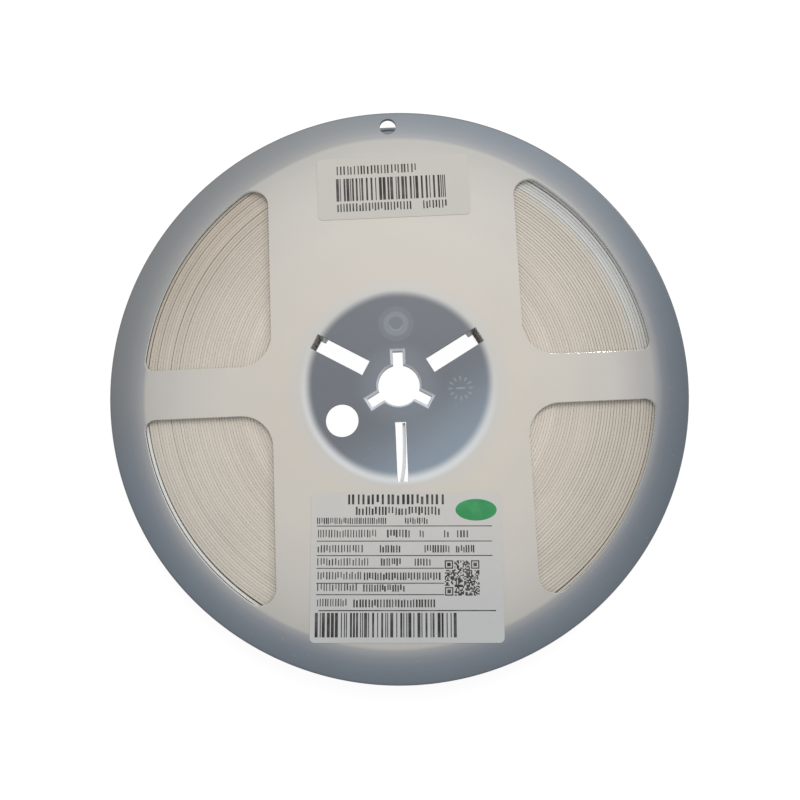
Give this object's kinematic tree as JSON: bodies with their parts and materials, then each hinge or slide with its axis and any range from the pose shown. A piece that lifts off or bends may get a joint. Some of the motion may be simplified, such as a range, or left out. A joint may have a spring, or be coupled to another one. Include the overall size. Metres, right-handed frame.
{
  "type": "smd tape reel",
  "caption": "Seven inch plastic carrier-tape reel with a keyed arbor bore, wound full of 8 mm paper tape and carrying two paper labels.",
  "frame": {"origin": "foot of the arbor axis, on the outer face of the back flange", "axes": "+Z along the arbor axis, out of the labelled front face; +Y towards the small hole in the front rim; +X to the right when the labels are read upright"},
  "size_m": [0.18, 0.18, 0.0115],
  "materials": {
    "reel_plastic": "semi-gloss, milky and slightly translucent",
    "tape_paper": "matt cut paper edge",
    "label_paper": "smooth coated label paper"
  },
  "bodies": {
    "root": {"reel_body": "reel_plastic", "tape_roll": "tape_paper", "main_label": "label_paper", "top_label": "label_paper"}
  },
  "joints": []
}
